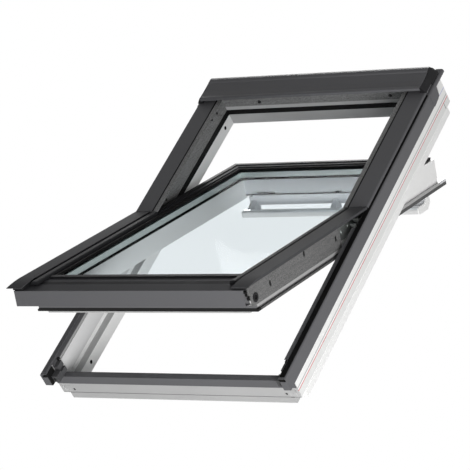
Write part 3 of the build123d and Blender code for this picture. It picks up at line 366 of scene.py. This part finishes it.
def side_rail_white():
    """White rails with painted shade on their inner walls, ledges, gland grooves and end faces, a grey band
    and fitting lines along the sides, painted shade in a saw cut and along the grooves and the step, and a
    pencil stroke.
    """
    finish = Finish("side_rail_white")
    colour = white_coat(finish, WHITE_SHADE, WHITE_LIGHT)
    x, up, out = finish.frame_axes()
    # Painted shade: the side rails' end faces take the greyer white of the end rails
    ends = (up < FACE_DEPTH) | (up > FRAME_LENGTH - FACE_DEPTH)
    colour = finish.tint(ends, colour, END_PAINTED_SHADE_LIGHT)
    # Painted shade on the inner wall, the ledge and the gland groove
    colour = finish.tint(near(abs(x), WALL_X, FACE_DEPTH), colour, WALL_PAINTED_SHADE)
    ledge = near(out, LEDGE_N, FACE_DEPTH) * (abs(x) < WALL_X)
    colour = finish.tint(ledge, colour, LEDGE_PAINTED_SHADE)
    gland = near(abs(x), GLAND_X, FACE_DEPTH) * (out > GLAND_FOOT_N)
    colour = finish.tint(gland, colour, GLAND_PAINTED_SHADE)
    side = abs(x) > FRAME_HALF - FACE_DEPTH
    for centre, half, strength, paint in SIDE_PRINT_AND_SHADE:
        colour = finish.tint(near(out, centre, half) * side * strength, colour, paint)
    # Painted shade in the saw cut and in the front groove
    cut = near(up, *SAW_CUT_Y) * near(out, *SAW_CUT_N) * side * SAW_CUT_STRENGTH
    colour = finish.tint(cut | front_groove_shade(x, up, out), colour, GROOVE_AND_CUT_SHADE)
    right_side = x > FRAME_HALF - FACE_DEPTH
    stroke = near(up, *STROKE_Y) * near(out, *STROKE_N) * right_side * STROKE_STRENGTH
    return finish.surface(Base_Color=finish.tint(stroke, colour, STROKE_PAINT))


def end_rail_shaded_white():
    """White top and bottom rails greyed with painted shade, with painted shade in the groove along the front
    of the lower one.
    """
    finish = Finish("end_rail_shaded_white")
    colour = white_coat(finish, END_PAINTED_SHADE_DARK, END_PAINTED_SHADE_LIGHT)
    groove = front_groove_shade(*finish.frame_axes())
    return finish.surface(Base_Color=finish.tint(groove, colour, GROOVE_AND_CUT_SHADE))


SASH_FLANGE_X = 0.3453
FLANGE_STRENGTH = 0.9
FLANGE_PAINTED_SHADE = grey(0.30)
SASH_FRONT_Y = 0.0375
SASH_FRONT_PAINTED_SHADE = (0.10, 0.10, 0.105)
WHITE_CORNER_X = 0.331
WHITE_CORNER_N = (0.063, 0.0055)


def sash_white():
    """White rails with painted shade: grey flanges at the sides, where they face down, and a dark front,
    left white at its two lower corners.
    """
    finish = Finish("sash_white")
    colour = white_coat(finish, WHITE_SHADE, WHITE_LIGHT)
    x, up, out = finish.sash_axes()
    # Painted shade on the down-facing flanges and on the front
    colour = finish.tint((abs(x) > SASH_FLANGE_X) * FLANGE_STRENGTH, colour, FLANGE_PAINTED_SHADE)
    corner = (abs(x) > WHITE_CORNER_X) * near(out, *WHITE_CORNER_N)
    front = (up < SASH_FRONT_Y) * (1.0 - corner)
    return finish.surface(Base_Color=finish.tint(front, colour, SASH_FRONT_PAINTED_SHADE))


# Lacquered sheet: finish, pieces, dark, light, least roughness and shine. The darker greys of the sash
# covers and corner blocks are painted shade of the covers' lacquer.
LACQUERS = (
    ("cover_lacquer", COVERS, (0.100, 0.100, 0.106), (0.116, 0.116, 0.122), 0.40, 0.12),
    # Painted shade: darker copies of the cover lacquer
    ("sash_cover_lacquer", SASH_COVERS, (0.056, 0.056, 0.060), (0.068, 0.068, 0.072), 0.55, 0.03),
    ("block_lacquer", CORNER_BLOCKS, (0.060, 0.060, 0.063), (0.070, 0.070, 0.073), 0.45, 0.12),
    ("cladding_lacquer", CLADDINGS, (0.020, 0.020, 0.022), (0.030, 0.030, 0.032), 0.45, 0.03),
)
LACQUER_CLOUD = (9.0, 3.0)
LACQUER_GRIT = (1600.0, 2.0)
LACQUER_RELIEF = (0.08, 0.0003)
LACQUER_CLOUD_SHARE = 0.8
LACQUER_GRIT_SHARE = 0.2
LACQUER_ROUGHNESS_WIDTH = 0.1
# Apron: lit front colour, painted shade on its top, and a painted shadow of a gap across it
APRON_FRONT = (0.119, 0.119, 0.125)
APRON_TOP_PAINTED_SHADE = (0.066, 0.066, 0.071)
APRON_EDGE_Y = -0.038
APRON_GAP_SHADOW = (0.008, 0.008, 0.009)
APRON_GAP_SHADOW_Y = (0.0125, 0.0090)
APRON_GAP_SHADOW_STRENGTH = (0.7, 0.3)
APRON_ROUGHNESS = 0.5
APRON_SHINE = 0.02


def lacquer_coat(finish, roughness):
    """Cloud and grit of a lacquer, with its relief and roughness."""
    cloud = finish.noise(*LACQUER_CLOUD)
    grit = finish.noise(*LACQUER_GRIT)
    finish.relief(grit, *LACQUER_RELIEF)
    finish.surface(Roughness=spread(cloud, roughness, LACQUER_ROUGHNESS_WIDTH))
    return cloud, grit


def lacquer(name, dark, light, roughness, shine):
    finish = Finish(name)
    cloud, grit = lacquer_coat(finish, roughness)
    colour = finish.blend(cloud * LACQUER_CLOUD_SHARE + grit * LACQUER_GRIT_SHARE, dark, light)
    return finish.surface(Base_Color=colour, Specular_IOR_Level=shine)


def apron_shaded_lacquer():
    """Grey lacquer with painted shade, darker on its top, and a painted shadow of a gap across it."""
    finish = Finish("apron_shaded_lacquer")
    cloud, _ = lacquer_coat(finish, APRON_ROUGHNESS)
    _, up, _ = finish.sash_axes()
    # Painted shade on the top, then a painted shadow in the gap across it
    colour = finish.blend(up > APRON_EDGE_Y, APRON_FRONT, APRON_TOP_PAINTED_SHADE)
    seam = near(up, *APRON_GAP_SHADOW_Y) * spread(cloud, *APRON_GAP_SHADOW_STRENGTH)
    colour = finish.tint(seam, colour, APRON_GAP_SHADOW)
    return finish.surface(Base_Color=colour, Specular_IOR_Level=APRON_SHINE)


# Lining boards: finish, pieces, tilt, stretch of the streaks and lightest grey
SLOPE_STREAKS = (0.0025, 0.05, 0.0025)
CROSS_STREAKS = (0.05, 0.0025, 0.0025)
BOARDS = (
    ("frame_lining_board", FRAME_LININGS, PITCH, SLOPE_STREAKS, 0.27),
    ("sash_lining_board", SASH_LININGS, PITCH - OPENING, SLOPE_STREAKS, 0.17),
    ("top_lining_board", ("top_lining",), PITCH, CROSS_STREAKS, 0.23),
)
BOARD_STREAKS = (1.0, 3.0, 0.6)
BOARD_STREAK_SHARE = 0.3
BOARD_GRAIN = (380.0, 4.0, 0.7)
BOARD_GRAIN_SHARE = 0.6
BOARD_CELLS = 300.0
BOARD_CELL_SHARE = 0.3
BOARD_STOPS = ((0.38, 0.0), (0.72, 1.0))
BOARD_RELIEF = (0.6, 0.0012)
BOARD_ROUGHNESS = (0.6, 0.2)
BOARD_DARK = (0.030, 0.030, 0.029)


def grained_board(name, tilt, scale, light):
    """Coarse grained board with streaks along its length."""
    finish = Finish(name)
    streaks = finish.noise(*BOARD_STREAKS, finish.drawn_out(tilt, scale))
    grain = finish.noise(*BOARD_GRAIN)
    cells = finish.cells(BOARD_CELLS)
    height = grain * BOARD_GRAIN_SHARE + streaks * BOARD_STREAK_SHARE + cells * BOARD_CELL_SHARE
    finish.relief(height, *BOARD_RELIEF)
    colour = finish.blend(finish.ramp(height, *BOARD_STOPS), BOARD_DARK, grey(light))
    return finish.surface(Base_Color=colour, Roughness=spread(grain, *BOARD_ROUGHNESS))


# Rubber
RUBBER_DUST = (60.0, 4.0)
RUBBER_GRAIN = (900.0, 2.0)
RUBBER_RELIEF = (0.1, 0.0003)
RUBBER_ROUGHNESS = (0.55, 0.2)
SEAL_DARK = grey(0.004)
SEAL_LIGHT = grey(0.011)
SEAL_SHINE = 0.06
GASKET_BLACK = grey(0.008)
GASKET_PAINTED_LIGHT = (0.118, 0.118, 0.124)
GASKET_SHINE = 0.03
RIB_PITCH = 0.0070
RIB_X = 0.338
RIB_LOW_Y = 0.046
RIB_RELIEF = (0.5, 0.0012)
RIB_DARK = grey(0.010)
RIB_CREST_GREY_AND_LIGHT = grey(0.170)
RIB_ROUGHNESS = 0.6
RIB_SHINE = 0.15


def rubber_skin(finish):
    """Dust of a rubber, with its relief and roughness."""
    dust = finish.noise(*RUBBER_DUST)
    finish.relief(finish.noise(*RUBBER_GRAIN), *RUBBER_RELIEF)
    finish.surface(Roughness=spread(dust, *RUBBER_ROUGHNESS))
    return dust


def rubber():
    finish = Finish("seal_rubber")
    colour = finish.blend(rubber_skin(finish), SEAL_DARK, SEAL_LIGHT)
    return finish.surface(Base_Color=colour, Specular_IOR_Level=SEAL_SHINE)


def gasket_rubber():
    """Black gasket rubber, with painted light making the left one grey."""
    finish = Finish("gasket_rubber")
    rubber_skin(finish)
    x, _, _ = finish.frame_axes()
    # Painted light: grey on the left, black on the right
    colour = finish.blend(x < 0.0, GASKET_BLACK, GASKET_PAINTED_LIGHT)
    return finish.surface(Base_Color=colour, Specular_IOR_Level=GASKET_SHINE)


def ribbed_rubber():
    """Dark seal with fine ribs across its two side runs, whose crests are painted grey: partly the seal's
    own grey, partly painted light.
    """
    finish = Finish("ribbed_rubber")
    x, up, _ = finish.sash_axes()
    run = up * (math.tau / RIB_PITCH)
    wave = spread(run.maths("SINE", run), 0.5, 0.5)
    rib = wave * (abs(x) > RIB_X) * (up > RIB_LOW_Y)
    finish.relief(rib, *RIB_RELIEF)
    # Crests lighter and troughs dark: partly the seal's grey, partly painted light and shade
    colour = finish.blend(rib, RIB_DARK, RIB_CREST_GREY_AND_LIGHT)
    return finish.surface(Base_Color=colour, Roughness=RIB_ROUGHNESS, Specular_IOR_Level=RIB_SHINE)


# Moulded plastic
MOULD_CLOUD = (40.0, 3.0)
MOULD_SPARK = (1400.0, 2.0)
MOULD_RELIEF = (0.12, 0.0003)
MOULD_ROUGHNESS = (0.5, 0.15)
MOULD_SHINE = 0.15
BLACK_MOULD = ((0.008, 0.008, 0.009), (0.016, 0.016, 0.017))
TRIM_MOULD = (grey(0.006), grey(0.012))
LIGHT_MOULD = (grey(0.40), grey(0.47))


def moulding(name, dark, light):
    finish = Finish(name)
    spark = finish.noise(*MOULD_SPARK)
    finish.relief(spark, *MOULD_RELIEF)
    colour = finish.blend(finish.noise(*MOULD_CLOUD), dark, light)
    roughness = spread(spark, *MOULD_ROUGHNESS)
    return finish.surface(Base_Color=colour, Roughness=roughness, Specular_IOR_Level=MOULD_SHINE)


# Metals: finish, pieces, dark, light and least roughness, and the screws' last three
METALS = (
    ("hinge_metal", HINGES, (0.30, 0.32, 0.31), (0.42, 0.44, 0.43), 0.40),
    ("spacer_metal", ("pane_spacer",), (0.40, 0.445, 0.435), (0.47, 0.51, 0.50), 0.35),
    ("bar_metal", ("control_bar", "barrel_bolt"), grey(0.66), grey(0.76), 0.35),
)
DARK_SCREW = (grey(0.03), grey(0.05), 0.45)
BRIGHT_SCREW = ((0.55, 0.55, 0.56), (0.66, 0.66, 0.67), 0.30)
METAL_LINES = (1.0, 3.0, 0.5)
METAL_STRETCH = (0.5, 0.0011, 0.0011)
METAL_RELIEF = (0.1, 0.0002)
METAL_ROUGHNESS_WIDTH = 0.15


def drawn_metal(name, dark, light, roughness):
    """Metal with fine lines along the window's width."""
    finish = Finish(name)
    lines = finish.noise(*METAL_LINES, finish.drawn_out(0.0, METAL_STRETCH))
    finish.relief(lines, *METAL_RELIEF)
    colour = finish.blend(lines, dark, light)
    roughness = spread(lines, roughness, METAL_ROUGHNESS_WIDTH)
    return finish.surface(Base_Color=colour, Roughness=roughness, Metallic=1.0)


# Glass
GLASS_TINT = (0.944, 0.9605, 0.967, 1.0)
GLASS_SHEEN = (0.05, 0.08, 0.09, 1.0)
GLASS_ROUGHNESS = 0.03
GLASS_SHINE = 0.5
GLASS_HAZE = (3.0, 2.0)
GLASS_GLOSS = (0.008, 0.01)


def pane_glass():
    """Clear glass that takes a little red out of what is seen through it."""
    finish = Finish("pane_glass")
    finish.surface(Base_Color=GLASS_SHEEN, Roughness=GLASS_ROUGHNESS, Specular_IOR_Level=GLASS_SHINE)
    clear = finish.node("ShaderNodeBsdfTransparent", {}, {"Color": GLASS_TINT})
    gloss = spread(finish.noise(*GLASS_HAZE), *GLASS_GLOSS)
    mixed = finish.node("ShaderNodeMixShader", {}, {0: gloss, 1: clear, 2: finish.own_shader()})
    return finish.shown_by(mixed)


def dress(names, material):
    for name in names:
        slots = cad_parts[name].data.materials
        slots.clear()
        slots.append(material)


def dress_window():
    """Gives each piece of the window its finish, and returns the rubber of its seals."""
    dress(SIDE_RAILS, side_rail_white())
    dress(END_RAILS, end_rail_shaded_white())
    dress(SASH_RAILS, sash_white())
    dress(VENT_PIECES, plain_white("vent_shaded_white", VENT_PAINTED_SHADE_DARK, VENT_PAINTED_SHADE_LIGHT))
    dress(CONTROLS, plain_white("control_white", WHITE_SHADE, WHITE_LIGHT))
    for name, names, *look in LACQUERS:
        dress(names, lacquer(name, *look))
    dress(("bottom_apron",), apron_shaded_lacquer())
    for name, names, *look in BOARDS:
        dress(names, grained_board(name, *look))
    seal = rubber()
    dress(SEALS, seal)
    dress(("side_gaskets",), gasket_rubber())
    dress(("sash_seal",), ribbed_rubber())
    dress(BLACK_MOULDINGS, moulding("black_moulding", *BLACK_MOULD))
    dress(("top_trim",), moulding("light_trim", *LIGHT_MOULD))
    for name, names, *look in METALS:
        dress(names, drawn_metal(name, *look))
    dress(PANES, pane_glass())
    return seal


# New pieces
def new_verts(shape, others):
    return [vert for vert in shape.verts if vert not in others]


def new_faces(shape, others):
    return [face for face in shape.faces if not others.intersection(face.verts)]


def fitted(name, shape, body, material):
    """A finished piece that moves with a body."""
    piece = meshed(name, shape, material)
    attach(piece, body)


# Screws and round plugs
HEAD_SEGMENTS = 24
HEAD_TAPER_SHARE = 0.86
HEAD_HEIGHT_SHARE = 0.5
SOCKET_SHARE = 0.45
SOCKET_DEPTH_SHARE = 0.3
DOWN_SLOPE = on_frame(0.0, -1.0, 0.0) - on_frame(0.0, 0.0, 0.0)
OUTWARD = on_frame(0.0, 0.0, 1.0) - on_frame(0.0, 0.0, 0.0)
RAIL_SCREW = (0.347, 0.002, 0.034)
RAIL_SCREW_R = 0.0034
EAR_SCREW = (0.367, 0.002, 0.034)
EAR_SCREW_R = 0.0018
BLOCK_SCREW = (0.368, -0.024, 0.098)
BLOCK_SCREW_R = 0.0045
PLATE_SCREWS = ((0.386, 1.100, 0.132), (0.386, 1.160, 0.132))
PLATE_SCREW_R = 0.0036
TOP_PLUG = (0.226, 1.149, 0.083)
TOP_PLUG_R = 0.0055
LINING_FACE_X = 0.355
LINING_PLUGS = ((0.7149, 0.088), (0.8802, 0.104), (1.0643, 0.091), (1.0991, 0.087))
LINING_PLUG_R = 0.0042


def add_head(shape, place, outward, radius):
    """One screw head with a tapered rim and a sunk socket."""
    others = set(shape.verts)
    height = radius * HEAD_HEIGHT_SHARE
    bmesh.ops.create_cone(
        shape, cap_ends=True, segments=HEAD_SEGMENTS, depth=height,
        radius1=radius, radius2=radius * HEAD_TAPER_SHARE,
    )
    shape.normal_update()
    top = max(new_faces(shape, others), key=lambda face: face.normal.z)
    bmesh.ops.inset_region(shape, faces=[top], thickness=radius * SOCKET_SHARE)
    bmesh.ops.translate(shape, verts=top.verts, vec=(0.0, 0.0, -radius * SOCKET_DEPTH_SHARE))
    turn = outward.to_track_quat("Z", "Y").to_matrix().to_4x4()
    seat = Matrix.Translation(place + outward * height / 2) @ turn
    bmesh.ops.transform(shape, matrix=seat, verts=new_verts(shape, others))


def screw_row(name, places, outward, radius, material):
    shape = bmesh.new()
    for place in places:
        add_head(shape, place, outward, radius)
    fitted(name, shape, "frame", material)


def pairs(x, y, n):
    return [on_frame(-x, y, n), on_frame(x, y, n)]


def fit_screws():
    dark = drawn_metal("dark_screw_metal", *DARK_SCREW)
    bright = drawn_metal("bright_screw_metal", *BRIGHT_SCREW)
    screw_row("rail_screws", pairs(*RAIL_SCREW), DOWN_SLOPE, RAIL_SCREW_R, dark)
    screw_row("ear_screws", pairs(*EAR_SCREW), DOWN_SLOPE, EAR_SCREW_R, dark)
    screw_row("block_screws", pairs(*BLOCK_SCREW), DOWN_SLOPE, BLOCK_SCREW_R, dark)
    plates = [place for screw in PLATE_SCREWS for place in pairs(*screw)]
    screw_row("plate_screws", plates, OUTWARD, PLATE_SCREW_R, bright)
    screw_row("top_plugs", pairs(*TOP_PLUG), DOWN_SLOPE, TOP_PLUG_R, dark)
    for name, side in (("left_plugs", -1.0), ("right_plugs", 1.0)):
        places = [on_frame(side * LINING_FACE_X, *plug) for plug in LINING_PLUGS]
        screw_row(name, places, Vector((-side, 0.0, 0.0)), LINING_PLUG_R, dark)


# Small trim: a span is the lowest and highest x, y and n of a form, on the shut window
SEATS = {"frame": (on_frame, PITCH), "sash": (on_sash, PITCH - OPENING)}
EDGE_ROUND_SHARE = 0.2
EDGE_SEGMENTS = 2
OVAL_SEGMENTS = 32
OVAL_RIM_SHARE = 0.16
OVAL_SINK_SHARE = 0.6
QUARTER_TURN = math.radians(90.0)
FLAP_LINE = (-0.283, 0.283, 1.0415, 1.0440, 0.0496, 0.0536)
CATCHES = (
    (0.0330, 0.0405, 1.0385, 1.0440, 0.0496, 0.0590),
    (0.0445, 0.0520, 1.0385, 1.0440, 0.0496, 0.0590),
    (-0.2430, -0.1810, 1.0385, 1.0440, 0.0520, 0.0590),
)
END_CAPS = (
    (0.3180, 0.3445, 0.0300, 0.0368, 0.0890, 0.0965),
    (0.3230, 0.3445, 0.0320, 0.0368, 0.0805, 0.0870),
    (0.3280, 0.3445, 0.0300, 0.0368, 0.0700, 0.0785),
)
# Black blocks that fill the frame's lower corners and the gaps under the ends of the sash covers
CORNER_BLACK_BLOCKS = (
    (0.3752, 0.3890, -0.0350, -0.0005, 0.0840, 0.1280),
    (0.3692, 0.3755, 0.0260, 0.0360, 0.1210, 0.1288),
)
SASH_LIP = (-0.3280, 0.3280, 0.0372, 0.0440, 0.0330, 0.0399)
COVER_BLACK_BLOCK = (0.3455, 0.3520, 0.0300, 0.0600, 0.1280, 0.1400)
BUSH_PLUG = (0.3452, 0.3490, 0.0298, 0.0430, 0.0714, 0.0846)
OVALS = ((0.1183, 0.0886), (0.3062, 0.1060), (0.4789, 0.0907))
OVAL_X = (0.3452, 0.3500)
OVAL_HALF_Y = 0.0060
OVAL_HALF_N = 0.0085


def settle(shape, others, body, span):
    """Puts the newest form of a shape at its span on a body."""
    x0, x1, y0, y1, n0, n1 = span
    spot, tilt = SEATS[body]
    middle = spot((x0 + x1) / 2, (y0 + y1) / 2, (n0 + n1) / 2)
    seat = Matrix.Translation(middle) @ Matrix.Rotation(tilt, 4, "X")
    bmesh.ops.transform(shape, matrix=seat, verts=new_verts(shape, others))


def extent(span):
    x0, x1, y0, y1, n0, n1 = span
    return x1 - x0, y1 - y0, n1 - n0


def add_bar(shape, body, span):
    """One bar with rounded edges."""
    others = set(shape.verts)
    size = extent(span)
    bmesh.ops.create_cube(shape, size=1.0)
    verts = new_verts(shape, others)
    bmesh.ops.scale(shape, vec=size, verts=verts)
    edges = {edge for vert in verts for edge in vert.link_edges}
    bmesh.ops.bevel(
        shape, geom=list(edges), offset=min(size) * EDGE_ROUND_SHARE, affect="EDGES",
        segments=EDGE_SEGMENTS, profile=0.5, material=-1,
    )
    settle(shape, others, body, span)


def add_oval(shape, body, span):
    """One oval plug across the window's width, sunk inside its rim at both ends."""
    others = set(shape.verts)
    bmesh.ops.create_cone(shape, cap_ends=True, segments=OVAL_SEGMENTS, depth=1.0, radius1=0.5, radius2=0.5)
    ends = [face for face in new_faces(shape, others) if len(face.verts) == OVAL_SEGMENTS]
    bmesh.ops.inset_individual(shape, faces=ends, thickness=OVAL_RIM_SHARE)
    for face in ends:
        bmesh.ops.scale(shape, vec=(1.0, 1.0, OVAL_SINK_SHARE), verts=face.verts)
    verts = new_verts(shape, others)
    bmesh.ops.rotate(shape, matrix=Matrix.Rotation(QUARTER_TURN, 3, "Y"), verts=verts)
    bmesh.ops.scale(shape, vec=extent(span), verts=verts)
    settle(shape, others, body, span)


def trim(name, body, add, spans, material):
    shape = bmesh.new()
    for span in spans:
        add(shape, body, span)
    fitted(name, shape, body, material)


def both_sides(*spans):
    """Each span at the right, and its mirror image at the left."""
    return [span for low, high, *rest in spans for span in ((low, high, *rest), (-high, -low, *rest))]


def oval_span(y, n):
    return (*OVAL_X, y - OVAL_HALF_Y, y + OVAL_HALF_Y, n - OVAL_HALF_N, n + OVAL_HALF_N)


def fit_trim(seal):
    black = moulding("trim_moulding", *TRIM_MOULD)
    light = moulding("lip_grey", *LIGHT_MOULD)
    ovals = both_sides(BUSH_PLUG, *(oval_span(*oval) for oval in OVALS))
    trim("flap_line_seal", "sash", add_bar, (FLAP_LINE,), seal)
    trim("flap_catches", "sash", add_bar, CATCHES, black)
    trim("end_cap_fins", "sash", add_bar, both_sides(*END_CAPS), black)
    trim("corner_black_blocks", "frame", add_bar, both_sides(*CORNER_BLACK_BLOCKS), seal)
    trim("sash_lip", "sash", add_bar, (SASH_LIP,), light)
    trim("cover_black_blocks", "sash", add_bar, both_sides(COVER_BLACK_BLOCK), seal)
    trim("oval_plugs", "sash", add_oval, ovals, black)


# Studio. A lamp is its name, azimuth, elevation and power.
WORLD_LIGHT = 0.17
FLOOR_DROP = 2.4
FLOOR_HALF = 14.0
FLOOR_GREY = (*grey(0.55), 1.0)
FLOOR_ROUGHNESS = 0.9
WHITE = (*grey(1.0), 1.0)
LAMPS = (("front_lamp", 44.0, -22.0, 300.0), ("back_lamp", 205.0, 30.0, 200.0))
LAMP_DISTANCE = 5.0
LAMP_SIZE = 2.5


def studio_world():
    world = bpy.data.worlds.new("studio")
    bpy.context.scene.world = world
    world.use_nodes = True
    nodes = Nodes(world.node_tree)
    plain = nodes.node("ShaderNodeBackground", {}, {"Color": WHITE, "Strength": WORLD_LIGHT})
    white = nodes.node("ShaderNodeBackground", {}, {"Color": WHITE, "Strength": 1.0})
    nodes.feed(world.node_tree.nodes["World Output"].inputs["Surface"], nodes.white_to_the_eye(plain, white))


def floor_paint():
    finish = Finish("floor_paint")
    finish.surface(Base_Color=FLOOR_GREY, Roughness=FLOOR_ROUGHNESS)
    glow = finish.node("ShaderNodeEmission", {}, {"Color": WHITE, "Strength": 1.0})
    return finish.shown_by(finish.white_to_the_eye(finish.own_shader(), glow))


def studio_floor():
    shape = bmesh.new()
    bmesh.ops.create_grid(shape, x_segments=1, y_segments=1, size=FLOOR_HALF)
    bmesh.ops.translate(shape, verts=shape.verts, vec=(0.0, 0.0, cad_box[0][2] - FLOOR_DROP))
    floor = meshed("floor", shape, floor_paint())


def towards(azimuth, elevation):
    flat = math.cos(elevation)
    return Vector((math.sin(azimuth) * flat, -math.cos(azimuth) * flat, math.sin(elevation)))


def facing(heading):
    """Turn of a lamp or camera that looks back along its heading."""
    return heading.to_track_quat("Z", "Y").to_euler()


def studio_lamp(name, azimuth, elevation, power):
    data = bpy.data.lights.new(name, "AREA")
    data.size = LAMP_SIZE
    data.energy = power
    lamp = placed(name, data)
    heading = towards(math.radians(azimuth), math.radians(elevation))
    lamp.location = heading * LAMP_DISTANCE
    lamp.rotation_euler = facing(heading)


def studio_camera():
    data = bpy.data.cameras.new("camera")
    data.sensor_width = SENSOR
    data.lens = LENS
    data.clip_end = FAR_CLIP
    camera = placed("camera", data)
    camera.location = EYE
    camera.rotation_euler = facing(towards(EYE_AZIMUTH, EYE_ELEVATION))
    bpy.context.scene.camera = camera


def studio():
    bpy.context.scene.view_settings.view_transform = "Standard"
    studio_world()
    studio_floor()
    for lamp in LAMPS:
        studio_lamp(*lamp)
    studio_camera()


seal_rubber = dress_window()
fit_screws()
fit_trim(seal_rubber)
studio()
